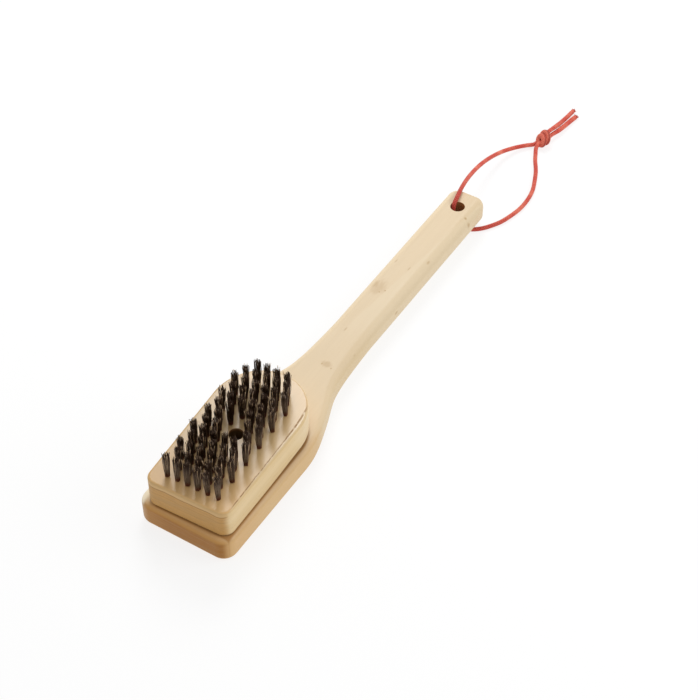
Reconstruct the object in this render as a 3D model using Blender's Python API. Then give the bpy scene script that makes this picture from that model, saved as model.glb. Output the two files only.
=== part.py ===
# Grill brush: a laminated bamboo board, a block of wire tufts screwed on it, and a hanging cord.
# Metres. +Z is up, the grip points to +X, and the origin is on the floor under the brush's middle.
# The grip lies on the cord's lower strand, so every wooden piece shares one small tilt.
import math

import bmesh
import bpy
from mathutils import Vector

# Clearance between pieces that touch
FIT_GAP = 0.0003

# Board: head, shoulder and grip in one piece
BOARD_LENGTH = 0.305
BOARD_THICKNESS = 0.0155
BOARD_ROUND = 0.003
GRIP_ROUND = 0.0055
HEAD_WIDTH = 0.058
HEAD_CORNER = 0.008
SHOULDER_START = 0.075
SHOULDER_LENGTH = 0.092
GRIP_WIDTH = 0.0245
GRIP_CORNER = 0.007
HANG_HOLE_DIAMETER = 0.0087
HANG_HOLE_FROM_END = 0.016

# How the shoulder narrows: share of its length, share of the width lost by there
SHOULDER_SHAPE = [(0.07, 0.03), (0.16, 0.13), (0.34, 0.44), (0.52, 0.79), (0.64, 0.90), (0.80, 0.96)]
SHOULDER_LEAD = 0.010

# Block: three glued plies with one outline, square at the front and round at the back
BLOCK_LENGTH = 0.0991
BLOCK_FRONT_WIDTH = 0.051
BLOCK_BACK_WIDTH = 0.0537
BLOCK_STRAIGHT = 0.070
BLOCK_CORNER = 0.0063
BLOCK_TOP_ROUND = 0.001
BLOCK_FOOT_ROUND = 0.0012
BLOCK_SETBACK = 0.0032
BLOCK_ASIDE = 0.0005
BLOCK_TURN = math.radians(2.3)
BOTTOM_PLY = 0.0045
CORE_PLY = 0.0084
TOP_PLY = 0.0045

# Screw and its well
SCREW_FROM_FRONT = 0.0493
WELL_DIAMETER = 0.008
WELL_DEPTH = 0.009
WELL_WALL = 0.001
SCREW_DIAMETER = 0.004
SCREW_LENGTH = 0.020
SCREW_TIP = 0.004
SCREW_HEAD_DIAMETER = 0.0072
SCREW_HEAD_HEIGHT = 0.0026
RECESS_SPAN = 0.0040
RECESS_SLOT = 0.0009
RECESS_DEPTH = 0.0012
PILOT_SPARE = 0.001

# Tufts: rows run across the block, six tufts and five by turns
ROW_COUNT = 13
FIRST_ROW = 0.00806
ROW_PITCH = 0.00655
TUFT_PITCH = 0.00621
TUFTS_LONG_ROW = 6
TUFTS_LAST_ROW = 4
BARE_PLACES = {(6, -1.0), (6, 0.0), (7, -0.5), (7, 0.5), (8, 0.0)}
TUFT_LENGTH = 0.0172
TUFT_ROOT = 0.002
TUFT_BASE_RING = 0.00105
TUFT_TIP_RING = 0.00155
TUFT_LEAN = 0.0004
RING_STRANDS = 5
STRAND_SIDES = 3
STRAND_BASE_RADIUS = 0.00050
STRAND_TIP_RADIUS = 0.00042
STRAND_UNEVEN = 0.0006

# Cord
CORD_DIAMETER = 0.0027
CORD_RING_GAP = 2.5
CORD_RING_TURN = math.radians(20)
KNOT_LENGTH = 0.010
KNOT_END_RADIUS = 0.0034
KNOT_LOBE_RADIUS = 0.0042
KNOT_WAIST_RADIUS = 0.0037
KNOT_TURN = math.radians(-10)

# Routes from the hang hole's centre, in millimetres, with heights above the floor
KNOT_CENTRE = (104.6, -6.2, 4.3)
UPPER_STRAND = [
    (-1.05, 2.41, 10.9), (-1.05, 2.41, 13.2), (-1.05, 2.41, 15.3), (0.5, 2.7, 19.1),
    (4.2, 3.2, 20.6), (8.8, 4.3, 20.6), (13.3, 5.4, 20.2), (22.0, 7.2, 19.0),
    (31.5, 8.8, 17.0), (41.4, 10.1, 14.5), (51.1, 10.9, 11.9), (60.5, 11.0, 9.3),
    (69.2, 10.3, 7.0), (77.0, 9.0, 4.9), (83.6, 6.7, 3.5), (89.3, 3.8, 2.5),
    (94.2, 0.3, 1.9), (97.6, -2.9, 1.7), (99.65, -3.6, 1.75),
]
LOWER_STRAND = [
    (-1.05, 2.41, 10.6), (-1.05, 2.41, 8.6), (-1.05, 2.41, 6.75), (-0.5, 0.93, 2.93),
    (0.84, -2.67, 1.35), (2.2, -6.3, 1.35), (4.1, -10.1, 1.35), (7.4, -13.8, 1.35),
    (12.1, -17.2, 1.35), (19.3, -21.0, 1.35), (28.2, -23.6, 1.35), (37.2, -25.2, 1.35),
    (47.7, -25.1, 1.35), (56.5, -23.6, 1.35), (65.0, -20.6, 1.35), (74.9, -16.3, 1.35),
    (84.4, -10.9, 1.35), (89.6, -8.4, 1.4), (93.4, -6.6, 2.2), (96.5, -5.95, 3.1),
    (99.15, -6.4, 3.2),
]
TAIL_ONE = [
    (109.85, -7.0, 5.9), (112.5, -7.45, 5.8), (118.4, -8.3, 5.2), (123.8, -8.7, 4.4),
    (132.5, -8.9, 3.2), (142.0, -8.9, 2.0),
]
TAIL_TWO = [
    (109.55, -8.7, 3.2), (112.2, -9.15, 3.15), (116.5, -10.3, 3.0), (123.0, -11.3, 2.6),
    (132.0, -12.1, 1.9), (138.0, -12.8, 1.45),
]

# Fineness of round shapes
CORNER_STEPS = 5
SHOULDER_STEPS = 3
BLOCK_END_STEPS = 9
ROUND_STEPS = 3
HOLE_SIDES = 28
SCREW_SIDES = 20
KNOT_SIDES = 16
ROUTE_STEPS = 12
MM = 0.001

# Places worked out from the sizes
hang_hole_x = BOARD_LENGTH - HANG_HOLE_FROM_END
tilt = math.asin((CORD_DIAMETER + FIT_GAP) / (hang_hole_x - BOARD_ROUND))
screw_x = BLOCK_SETBACK + SCREW_FROM_FRONT
block_foot = BOARD_THICKNESS + FIT_GAP
core_foot = BOTTOM_PLY + FIT_GAP
top_ply_foot = core_foot + CORE_PLY + FIT_GAP
block_top = top_ply_foot + TOP_PLY
screw_seat = block_top - WELL_DEPTH
screw_play = SCREW_DIAMETER / 2 + FIT_GAP
cord_radius = CORD_DIAMETER / 2


def finish(name, colour, roughness, metallic=0.0):
    material = bpy.data.materials.new(name)
    material.use_nodes = True
    shader = material.node_tree.nodes["Principled BSDF"]
    shader.inputs["Base Color"].default_value = (*colour, 1.0)
    shader.inputs["Roughness"].default_value = roughness
    shader.inputs["Metallic"].default_value = metallic
    return material


def add_object(name, data, parent, material):
    thing = bpy.data.objects.new(name, data)
    bpy.context.collection.objects.link(thing)
    thing.parent = parent
    data.materials.append(material)
    return thing


def add_frame(name, parent, place, turn):
    frame = bpy.data.objects.new(name, None)
    bpy.context.collection.objects.link(frame)
    frame.parent = parent
    frame.location = place
    frame.rotation_euler = turn
    return frame


def mesh_from(name, bm, smooth_angle=40):
    bmesh.ops.recalc_face_normals(bm, faces=bm.faces)
    mesh = bpy.data.meshes.new(name)
    bm.to_mesh(mesh)
    bm.free()
    mesh.shade_smooth()
    mesh.set_sharp_from_angle(angle=math.radians(smooth_angle))
    return mesh


def arc(centre, radii, start, end, steps):
    points = []
    for k in range(steps + 1):
        angle = math.radians(start + (end - start) * k / steps)
        offset = Vector((radii[0] * math.cos(angle), radii[1] * math.sin(angle)))
        points.append(Vector(centre) + offset)
    return points


def curve_through(points, steps):
    # Smooth curve through all the points, with the given number of steps between neighbours
    ends = [2 * points[0] - points[1], *points, 2 * points[-1] - points[-2]]
    line = []
    for a, b, c, d in zip(ends, ends[1:], ends[2:], ends[3:]):
        tb = (b - a).length ** 0.5
        tc = tb + (c - b).length ** 0.5
        td = tc + (d - c).length ** 0.5
        for k in range(steps):
            t = tb + (tc - tb) * k / steps
            ab = a.lerp(b, t / tb)
            bc = b.lerp(c, (t - tb) / (tc - tb))
            cd = c.lerp(d, (t - tc) / (td - tc))
            abc = ab.lerp(bc, t / tc)
            bcd = bc.lerp(cd, (t - tb) / (td - tb))
            line.append(abc.lerp(bcd, (t - tb) / (tc - tb)))
    line.append(points[-1])
    return line


def both_sides(half):
    # Closed outline from its left half, which runs from the front to the back
    return half + [Vector((p.x, -p.y)) for p in reversed(half) if p.y > FIT_GAP]


def plate(name, outline, foot, top, foot_round=0.0, top_round=0.0):
    bm = bmesh.new()
    face = bm.faces.new([bm.verts.new((p.x, p.y, foot)) for p in outline])
    grown = bmesh.ops.extrude_face_region(bm, geom=[face])
    for element in grown["geom"]:
        if isinstance(element, bmesh.types.BMVert):
            element.co.z = top
    for height, radius in ((foot, foot_round), (top, top_round)):
        if radius > 0:
            rim = [e for e in bm.edges if all(abs(v.co.z - height) < FIT_GAP / 100 for v in e.verts)]
            bmesh.ops.bevel(bm, geom=rim, offset=radius, segments=ROUND_STEPS, profile=0.5, affect="EDGES")
    return mesh_from(name, bm)


def rim_radius(x):
    # The board's edges are rounder on the grip than on the head
    share = min(1.0, max(0.0, (x - SHOULDER_START) / SHOULDER_LENGTH))
    return BOARD_ROUND + (GRIP_ROUND - BOARD_ROUND) * share * share * (3 - 2 * share)


def board_body(name, outline):
    # Loops from the foot to the top, each moved in from the outline by the rounding of the rim
    bm = bmesh.new()
    loops = []
    quarter = [math.pi / 2 * step / ROUND_STEPS for step in range(ROUND_STEPS + 1)]
    for half, angles in ((0, quarter), (1, quarter[::-1])):
        for angle in angles:
            loop = []
            for before, here, after in zip([outline[-1]] + outline, outline, outline[1:] + outline[:1]):
                ahead = (after - before).normalized()
                radius = rim_radius(here.x)
                inset = radius * (1 - math.sin(angle))
                rise = radius * (1 - math.cos(angle))
                height = BOARD_THICKNESS - rise if half else rise
                loop.append(bm.verts.new((here.x + ahead.y * inset, here.y - ahead.x * inset, height)))
            loops.append(loop)
    for below, above in zip(loops, loops[1:]):
        for k in range(len(outline)):
            bm.faces.new((below[k - 1], below[k], above[k], above[k - 1]))
    bm.faces.new(loops[0])
    bm.faces.new(loops[-1])
    return mesh_from(name, bm)


def turned(name, profile, sides):
    # Profile points are (radius, height), and both ends lie on the axis
    bm = bmesh.new()
    points = [bm.verts.new((radius, 0.0, height)) for radius, height in profile]
    edges = [bm.edges.new(pair) for pair in zip(points, points[1:])]
    bmesh.ops.spin(
        bm, geom=points + edges, cent=(0, 0, 0), axis=(0, 0, 1), angle=math.tau, steps=sides, use_merge=True
    )
    bmesh.ops.remove_doubles(bm, verts=bm.verts, dist=FIT_GAP / 100)
    return mesh_from(name, bm)


def rod(name, radius, foot, top, sides=HOLE_SIDES):
    return turned(name, [(0, foot), (radius, foot), (radius, top), (0, top)], sides)


def box(name, low, high):
    corners = [(low[0], low[1]), (high[0], low[1]), (high[0], high[1]), (low[0], high[1])]
    return plate(name, [Vector(corner) for corner in corners], low[2], high[2])


def add_cutter(name, data, parent, material):
    cutter = add_object(name, data, parent, material)
    cutter.hide_render = True
    cutter.display_type = "WIRE"
    return cutter


def even_normals(thing):
    # Flat faces shade flat, and only the rounded edges shade round
    modifier = thing.modifiers.new("even_normals", "WEIGHTED_NORMAL")
    modifier.keep_sharp = True


def combine(thing, other, operation):
    modifier = thing.modifiers.new(other.name, "BOOLEAN")
    modifier.operation = operation
    modifier.object = other
    modifier.solver = "EXACT"
    modifier.material_mode = "TRANSFER"


def board_outline():
    head = HEAD_WIDTH / 2
    grip = GRIP_WIDTH / 2
    half = arc((HEAD_CORNER, head - HEAD_CORNER), (HEAD_CORNER, HEAD_CORNER), 180, 90, CORNER_STEPS)
    stations = [Vector((SHOULDER_START - SHOULDER_LEAD, head)), Vector((SHOULDER_START, head))]
    for along, lost in SHOULDER_SHAPE:
        stations.append(Vector((SHOULDER_START + SHOULDER_LENGTH * along, head - (head - grip) * lost)))
    end = SHOULDER_START + SHOULDER_LENGTH
    stations += [Vector((end, grip)), Vector((end + SHOULDER_LEAD, grip))]
    half += curve_through(stations, SHOULDER_STEPS)
    corner = (BOARD_LENGTH - GRIP_CORNER, grip - GRIP_CORNER)
    half += arc(corner, (GRIP_CORNER, GRIP_CORNER), 90, 0, CORNER_STEPS)
    return both_sides(half)


def block_outline():
    # Measured from the screw, as the block turns about it
    front = BLOCK_FRONT_WIDTH / 2
    back = BLOCK_BACK_WIDTH / 2
    start = BLOCK_STRAIGHT - SCREW_FROM_FRONT
    corner = (BLOCK_CORNER - SCREW_FROM_FRONT, front - BLOCK_CORNER)
    half = arc(corner, (BLOCK_CORNER, BLOCK_CORNER), 180, 90, CORNER_STEPS)
    half += arc((start, 0.0), (BLOCK_LENGTH - BLOCK_STRAIGHT, back), 90, 0, BLOCK_END_STEPS)
    return both_sides(half)


def tuft_places(row):
    # Places across the block, in tuft pitches from its middle
    if row == ROW_COUNT:
        count = TUFTS_LAST_ROW
    else:
        count = TUFTS_LONG_ROW - (row + 1) % 2
    places = [k - (count - 1) / 2 for k in range(count)]
    return [place for place in places if (row, place) not in BARE_PLACES]


def row_x(row):
    return FIRST_ROW + ROW_PITCH * (row - 1) - SCREW_FROM_FRONT


def add_strand(bm, middle, outward, seed):
    # One tapered strand; outward is its place in the tuft, in ring radii
    wobble = math.sin(seed * 12.9898)
    lean = Vector((math.sin(seed * 0.61), math.cos(seed * 0.87))) * TUFT_LEAN
    base = middle + outward * TUFT_BASE_RING
    tip = middle + outward * TUFT_TIP_RING + lean
    reach = TUFT_LENGTH + STRAND_UNEVEN * wobble
    root = base + (base - tip) * (TUFT_ROOT / reach)
    rings = []
    for place, height, radius in (
        (root, block_top - TUFT_ROOT, STRAND_BASE_RADIUS),
        (tip, block_top + reach, STRAND_TIP_RADIUS),
    ):
        ring = []
        for k in range(STRAND_SIDES):
            angle = math.tau * k / STRAND_SIDES + math.atan2(outward.y, outward.x)
            x = place.x + radius * math.cos(angle)
            y = place.y + radius * math.sin(angle)
            ring.append(bm.verts.new((x, y, height)))
        rings.append(ring)
    low, high = rings
    bm.faces.new(reversed(low))
    bm.faces.new(high)
    for k in range(STRAND_SIDES):
        after = (k + 1) % STRAND_SIDES
        bm.faces.new((low[k], low[after], high[after], high[k]))


def tufts(name, row, places):
    bm = bmesh.new()
    for place in places:
        middle = Vector((row_x(row), place * TUFT_PITCH))
        tuft = row * TUFTS_LONG_ROW + place
        add_strand(bm, middle, Vector((0.0, 0.0)), tuft)
        for k in range(RING_STRANDS):
            angle = math.tau * (k + 0.5 * (row % 2)) / RING_STRANDS
            add_strand(bm, middle, Vector((math.cos(angle), math.sin(angle))), tuft)
    return mesh_from(name, bm, 20)


def add_board(frame, wood, hidden):
    board = add_object("board", board_body("board", board_outline()), frame, wood)
    above = BOARD_THICKNESS + BOARD_ROUND
    hole_mesh = rod("hang_hole", HANG_HOLE_DIAMETER / 2, -BOARD_ROUND, above)
    hole = add_cutter("hang_hole", hole_mesh, frame, hidden)
    hole.location.x = hang_hole_x
    pilot_foot = block_foot + screw_seat + FIT_GAP - SCREW_LENGTH - PILOT_SPARE
    pilot_mesh = rod("pilot_hole", screw_play, pilot_foot, above, SCREW_SIDES)
    pilot = add_cutter("pilot_hole", pilot_mesh, frame, hidden)
    pilot.location = (screw_x, BLOCK_ASIDE, 0.0)
    combine(board, hole, "DIFFERENCE")
    combine(board, pilot, "DIFFERENCE")
    even_normals(board)


def add_block_plies(frame, wood, hidden):
    outline = block_outline()
    shaft_mesh = rod("screw_shaft_hole", screw_play, -BOTTOM_PLY, block_top, SCREW_SIDES)
    shaft = add_cutter("screw_shaft_hole", shaft_mesh, frame, hidden)
    well_mesh = rod("screw_well", WELL_DIAMETER / 2, screw_seat, block_top + TOP_PLY)
    well = add_cutter("screw_well", well_mesh, frame, hidden)
    bottom_mesh = plate("block_bottom_ply", outline, 0.0, BOTTOM_PLY, foot_round=BLOCK_FOOT_ROUND)
    bottom = add_object("block_bottom_ply", bottom_mesh, frame, wood)
    combine(bottom, shaft, "DIFFERENCE")
    even_normals(bottom)
    core_mesh = plate("block_core_ply", outline, core_foot, core_foot + CORE_PLY)
    core = add_object("block_core_ply", core_mesh, frame, wood)
    combine(core, shaft, "DIFFERENCE")
    combine(core, well, "DIFFERENCE")
    ring_mesh = rod("block_screw_collar", WELL_DIAMETER / 2 + WELL_WALL, top_ply_foot, block_top)
    ring = add_object("block_screw_collar", ring_mesh, frame, wood)
    combine(ring, well, "DIFFERENCE")


def add_tufted_rows(frame, wood, wire, hidden):
    # The top ply is cut across into one slice for each row, and each slice holds its tufts
    outline = block_outline()
    reach = WELL_DIAMETER / 2 + WELL_WALL + FIT_GAP
    space_mesh = rod("collar_space", reach, 0.0, block_top + TOP_PLY)
    around_well = add_cutter("collar_space", space_mesh, frame, hidden)
    for row in range(1, ROW_COUNT + 1):
        front = row_x(row) - ROW_PITCH / 2 + FIT_GAP / 2
        back = row_x(row) + ROW_PITCH / 2 - FIT_GAP / 2
        by_well = front < reach and back > -reach
        split = by_well and not any(abs(place) < 1 for place in tuft_places(row))
        if row == 1:
            front = -BLOCK_LENGTH
        if row == ROW_COUNT:
            back = BLOCK_LENGTH
        halves = [("", -BLOCK_BACK_WIDTH, BLOCK_BACK_WIDTH)]
        if split:
            halves = [("_left", FIT_GAP / 2, BLOCK_BACK_WIDTH), ("_right", -BLOCK_BACK_WIDTH, -FIT_GAP / 2)]
        for side, low, high in halves:
            name = f"bristle_row_{row:02d}{side}"
            places = [place for place in tuft_places(row) if low < place * TUFT_PITCH < high]
            mesh = plate(name, outline, top_ply_foot, block_top, top_round=BLOCK_TOP_ROUND)
            ply = add_object(name, mesh, frame, wood)
            strip_mesh = box(name + "_strip", (front, low, 0.0), (back, high, block_top + TOP_PLY))
            strip = add_cutter(name + "_strip", strip_mesh, frame, hidden)
            combine(ply, strip, "INTERSECT")
            if by_well:
                combine(ply, around_well, "DIFFERENCE")
            strands = add_cutter(name + "_strands", tufts(name + "_strands", row, places), frame, wire)
            combine(ply, strands, "UNION")
            even_normals(ply)


def add_screw(frame, steel, hidden):
    radius = SCREW_DIAMETER / 2
    head = SCREW_HEAD_DIAMETER / 2
    profile = [(0.0, -SCREW_LENGTH), (radius, SCREW_TIP - SCREW_LENGTH), (radius, 0.0), (head, 0.0)]
    for step in range(1, ROUND_STEPS + 1):
        angle = math.pi / 2 * step / (ROUND_STEPS + 1)
        rise = SCREW_HEAD_HEIGHT * math.sin(angle)
        profile.append((RECESS_SPAN / 2 + (head - RECESS_SPAN / 2) * math.cos(angle), rise))
    profile.append((RECESS_SPAN / 2, SCREW_HEAD_HEIGHT))
    profile.append((0.0, SCREW_HEAD_HEIGHT))
    screw = add_object("block_screw", turned("block_screw", profile, SCREW_SIDES), frame, steel)
    screw.location.z = screw_seat + FIT_GAP
    span = RECESS_SPAN / 2
    slot = RECESS_SLOT / 2
    quarter = [Vector((span, -slot)), Vector((span, slot)), Vector((slot, slot))]
    cross = []
    for turn in range(4):
        for p in quarter:
            cross.append(Vector((p.x, p.y)))
        quarter = [Vector((-p.y, p.x)) for p in quarter]
    recess_foot = SCREW_HEAD_HEIGHT - RECESS_DEPTH
    recess_mesh = plate("screw_recess", cross, recess_foot, SCREW_HEAD_HEIGHT + RECESS_DEPTH)
    recess = add_cutter("screw_recess", recess_mesh, frame, hidden)
    recess.location.z = screw.location.z
    combine(screw, recess, "DIFFERENCE")


def ring_places(line):
    # Rings of the tube, closer together where the route bends
    kept = [line[0]]
    run = 0.0
    turn = 0.0
    for before, here, after in zip(line, line[1:], line[2:]):
        run += (here - before).length
        turn += (here - before).angle(after - here, 0.0)
        if run >= CORD_RING_GAP * CORD_DIAMETER or turn >= CORD_RING_TURN:
            kept.append(here)
            run = 0.0
            turn = 0.0
    if run < CORD_DIAMETER / 2 and len(kept) > 2:
        kept.pop()
    kept.append(line[-1])
    return kept


def add_cord(name, route, frame, material):
    line = curve_through([Vector(point) * MM for point in route], ROUTE_STEPS)
    places = ring_places(line)
    curve = bpy.data.curves.new(name, "CURVE")
    curve.dimensions = "3D"
    curve.bevel_depth = cord_radius
    curve.bevel_resolution = 2
    curve.use_fill_caps = True
    spline = curve.splines.new("POLY")
    spline.points.add(len(places) - 1)
    for point, place in zip(spline.points, places):
        point.co = (*place, 1.0)
    add_object(name, curve, frame, material)


def add_knot(frame, material):
    half = KNOT_LENGTH / 2
    lobe_start = 0.3 * half
    lobe_end = 0.7 * half
    profile = [
        (0.0, -half), (KNOT_END_RADIUS, -half),
        (KNOT_LOBE_RADIUS, -lobe_end), (KNOT_LOBE_RADIUS, -lobe_start),
        (KNOT_WAIST_RADIUS, 0.0),
        (KNOT_LOBE_RADIUS, lobe_start), (KNOT_LOBE_RADIUS, lobe_end),
        (KNOT_END_RADIUS, half), (0.0, half),
    ]
    knot = add_object("cord_knot", turned("cord_knot", profile, KNOT_SIDES), frame, material)
    knot.location = Vector(KNOT_CENTRE) * MM
    knot.rotation_euler = (0.0, math.pi / 2, KNOT_TURN)


def main():
    for thing in list(bpy.data.objects):
        bpy.data.objects.remove(thing, do_unlink=True)
    board_wood = finish("board_bamboo", (0.74, 0.55, 0.33), 0.45)
    block_wood = finish("block_bamboo", (0.80, 0.64, 0.43), 0.5)
    wire = finish("bristle_wire", (0.09, 0.075, 0.065), 0.35, 0.9)
    steel = finish("screw_steel", (0.42, 0.36, 0.30), 0.35, 1.0)
    red = finish("cord_red", (0.62, 0.06, 0.05), 0.7)
    hidden = finish("cutter", (0.5, 0.5, 0.5), 0.5)

    # The board turns up about its front edge, so that the hang hole clears the cord
    rest_x = BOARD_ROUND - BOARD_LENGTH / 2
    place = (rest_x - BOARD_ROUND * math.cos(tilt), 0.0, -BOARD_ROUND * math.sin(tilt))
    wood_frame = add_frame("wood_frame", None, place, (0.0, -tilt, 0.0))
    block_place = (screw_x, BLOCK_ASIDE, block_foot)
    block_frame = add_frame("block_frame", wood_frame, block_place, (0.0, 0.0, BLOCK_TURN))
    hole_x = rest_x + (hang_hole_x - BOARD_ROUND) * math.cos(tilt)
    cord_frame = add_frame("cord_frame", None, (hole_x, 0.0, 0.0), (0.0, 0.0, 0.0))

    add_board(wood_frame, board_wood, hidden)
    add_block_plies(block_frame, block_wood, hidden)
    add_tufted_rows(block_frame, block_wood, wire, hidden)
    add_screw(block_frame, steel, hidden)
    add_cord("hang_cord_upper", UPPER_STRAND, cord_frame, red)
    add_cord("hang_cord_lower", LOWER_STRAND, cord_frame, red)
    add_cord("cord_tail_1", TAIL_ONE, cord_frame, red)
    add_cord("cord_tail_2", TAIL_TWO, cord_frame, red)
    add_knot(cord_frame, red)


main()
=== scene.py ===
import math
import random

import bmesh
import bpy
from mathutils import Matrix, Vector


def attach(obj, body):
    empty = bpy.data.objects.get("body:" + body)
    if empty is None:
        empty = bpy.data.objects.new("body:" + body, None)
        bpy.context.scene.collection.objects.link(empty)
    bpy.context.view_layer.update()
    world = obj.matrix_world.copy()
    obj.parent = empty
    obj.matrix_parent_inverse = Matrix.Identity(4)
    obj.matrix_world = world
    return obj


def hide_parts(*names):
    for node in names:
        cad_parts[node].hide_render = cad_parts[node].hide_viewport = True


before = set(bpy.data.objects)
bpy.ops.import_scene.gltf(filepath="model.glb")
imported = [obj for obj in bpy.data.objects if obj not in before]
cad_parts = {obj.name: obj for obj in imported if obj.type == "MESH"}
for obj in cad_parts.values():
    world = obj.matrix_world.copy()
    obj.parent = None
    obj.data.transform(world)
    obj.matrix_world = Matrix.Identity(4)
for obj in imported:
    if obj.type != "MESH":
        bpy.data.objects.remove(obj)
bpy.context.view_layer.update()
print("frame loaded with", len(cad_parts), "nodes")

mm = 0.001
goldenAngle = 2.39996  # radians from one wire or thread to the next
scene = bpy.context.scene

# Camera, floor and light

cameraPlan = {
    "eye": (-572.92, -360.04, 705.08),  # mm, in the row frame
    "right": (0.52977, -0.84812, 0.00556),
    "up": (0.60537, 0.38271, 0.6979),
    "back": (-0.59403, -0.36636, 0.71617),
    "sensor": 36.0, "lens": 87.68,  # mm
    "clip": (0.05, 20.0),  # m
}

studio = {
    "sky": {"Color": (1.0, 1.0, 1.0, 1.0), "Strength": 0.6},
    # where each soft box stands, how far off, how wide, and its watts
    "softBoxes": {"backBox": ((0.62, 0.38, 0.8), 1.3, 0.6, 6.8),
                  "rightBox": ((0.35, -0.75, 0.6), 1.3, 0.9, 4.6)},
    "floorReach": 4.0,  # m from the middle to an edge
    # the paper is lit from below as well
    "floor": {"Base Color": (0.22, 0.22, 0.22, 1.0), "Roughness": 0.9, "Specular IOR Level": 0.0,
              "Emission Color": (1.0, 1.0, 1.0, 1.0), "Emission Strength": 0.785},
}


def setInputs(node, values):
    # an input takes a link, or else a plain value
    for key, value in values.items():
        if isinstance(value, bpy.types.NodeSocket):
            node.id_data.links.new(value, node.inputs[key])
        else:
            node.inputs[key].default_value = value


def makeCamera():
    data = bpy.data.cameras.new("viewCamera")
    data.sensor_width = cameraPlan["sensor"]
    data.lens = cameraPlan["lens"]
    data.clip_start, data.clip_end = cameraPlan["clip"]
    camera = bpy.data.objects.new("viewCamera", data)
    scene.collection.objects.link(camera)
    turn = Matrix([cameraPlan["right"], cameraPlan["up"], cameraPlan["back"]]).transposed().to_4x4()
    camera.matrix_world = Matrix.Translation(Vector(cameraPlan["eye"]) * mm) @ turn
    scene.camera = camera


def makeSoftBox(name, toward, away, size, watts):
    lamp = bpy.data.lights.new(name, "AREA")
    lamp.shape = "DISK"
    lamp.size = size
    lamp.energy = watts
    box = bpy.data.objects.new(name, lamp)
    box.location = Vector(toward).normalized() * away
    box.rotation_euler = box.location.to_track_quat("Z", "Y").to_euler()
    scene.collection.objects.link(box)


def makeFloor():
    far = studio["floorReach"]
    mesh = bpy.data.meshes.new("floor")
    mesh.from_pydata([(-far, -far, 0), (far, -far, 0), (far, far, 0), (-far, far, 0)], [], [(0, 1, 2, 3)])
    floor = bpy.data.objects.new("floor", mesh)
    scene.collection.objects.link(floor)
    paper = bpy.data.materials.new("paleFloor")
    paper.use_nodes = True
    setInputs(paper.node_tree.nodes["Principled BSDF"], studio["floor"])
    mesh.materials.append(paper)


def makeStudio():
    scene.view_settings.view_transform = "Standard"
    world = bpy.data.worlds.new("studioSky")
    world.use_nodes = True
    setInputs(world.node_tree.nodes["Background"], studio["sky"])
    scene.world = world
    for name, plan in studio["softBoxes"].items():
        makeSoftBox(name, *plan)
    makeFloor()


makeCamera()
makeStudio()
print("camera, floor and light are up")

# Node helpers


def addNode(tree, kind, inputs=None, **settings):
    node = tree.nodes.new(kind)
    for key, value in settings.items():
        setattr(node, key, value)
    setInputs(node, inputs or {})
    return node


def calc(tree, operation, *values):
    return addNode(tree, "ShaderNodeMath", dict(enumerate(values)), operation=operation).outputs[0]


def vectorCalc(tree, operation, *values):
    return addNode(tree, "ShaderNodeVectorMath", dict(enumerate(values)), operation=operation).outputs


def times(tree, first, *others):
    for other in others:
        first = calc(tree, "MULTIPLY", first, other)
    return first


def minus(tree, a, b):
    return calc(tree, "SUBTRACT", a, b)


def hypotenuse(tree, a, b):
    return calc(tree, "SQRT", calc(tree, "ADD", calc(tree, "POWER", a, 2.0), calc(tree, "POWER", b, 2.0)))


def splitUp(tree, vector):
    return addNode(tree, "ShaderNodeSeparateXYZ", {0: vector}).outputs


def ramp(tree, value, low, high, start=0.0, end=1.0):
    # start at low and end at high, with a soft change between them
    inputs = {"Value": value, "From Min": low, "From Max": high, "To Min": start, "To Max": end}
    return addNode(tree, "ShaderNodeMapRange", inputs, interpolation_type="SMOOTHSTEP").outputs["Result"]


def blendColor(tree, factor, a, b):
    # a and b are links, or plain colours of three values
    a, b = ((*value, 1.0) if isinstance(value, tuple) else value for value in (a, b))
    return addNode(tree, "ShaderNodeMix", {0: factor, 6: a, 7: b}, data_type="RGBA").outputs[2]


def tint(tree, color, toward, *masks):
    return blendColor(tree, times(tree, *masks), color, toward)


def mask(tree, inputs, spans):
    # every span names an input, then says where it starts and ends, and the strength there
    return times(tree, *(ramp(tree, inputs[name], *span) for name, *span in spans))


def paint(tree, color, coats, inputs):
    # every coat is a colour and the spans of its mask
    for toward, *spans in coats:
        color = tint(tree, color, toward, mask(tree, inputs, spans))
    return color


def cloud(tree, vector, factors, detail=3.0, rough=0.55):
    # noise, drawn out by small factors
    drawn = vectorCalc(tree, "MULTIPLY", vector, factors)[0]
    inputs = {"Vector": drawn, "Scale": 1.0, "Detail": detail, "Roughness": rough}
    return addNode(tree, "ShaderNodeTexNoise", inputs).outputs[0]


def sway(tree, vector, factors, width):
    # noise between plus and minus half the width
    return times(tree, minus(tree, cloud(tree, vector, factors, 2.0), 0.5), width)


def inMillimetres(tree):
    return vectorCalc(tree, "MULTIPLY", addNode(tree, "ShaderNodeTexCoord").outputs["Object"], (1000.0,) * 3)[0]


def facing(tree):
    return splitUp(tree, addNode(tree, "ShaderNodeNewGeometry").outputs["Normal"])


def newGroup(name, takes, gives):
    group = bpy.data.node_groups.new(name, "ShaderNodeTree")
    for sockets, way in ((takes, "INPUT"), (gives, "OUTPUT")):
        for title, kind in sockets.items():
            group.interface.new_socket(name=title, in_out=way, socket_type="NodeSocket" + kind)
    return group, addNode(group, "NodeGroupInput").outputs, addNode(group, "NodeGroupOutput")


def newMaterial(name, color, roughness, metallic=0.0, specular=0.5):
    material = bpy.data.materials.new(name)
    material.use_nodes = True
    shader = material.node_tree.nodes["Principled BSDF"]
    setInputs(shader, {"Base Color": (*color, 1.0), "Roughness": roughness, "Metallic": metallic,
                       "Specular IOR Level": specular})
    return material, material.node_tree, shader


def placeGroup(tree, group, values):
    return addNode(tree, "ShaderNodeGroup", values, node_tree=group).outputs


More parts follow.
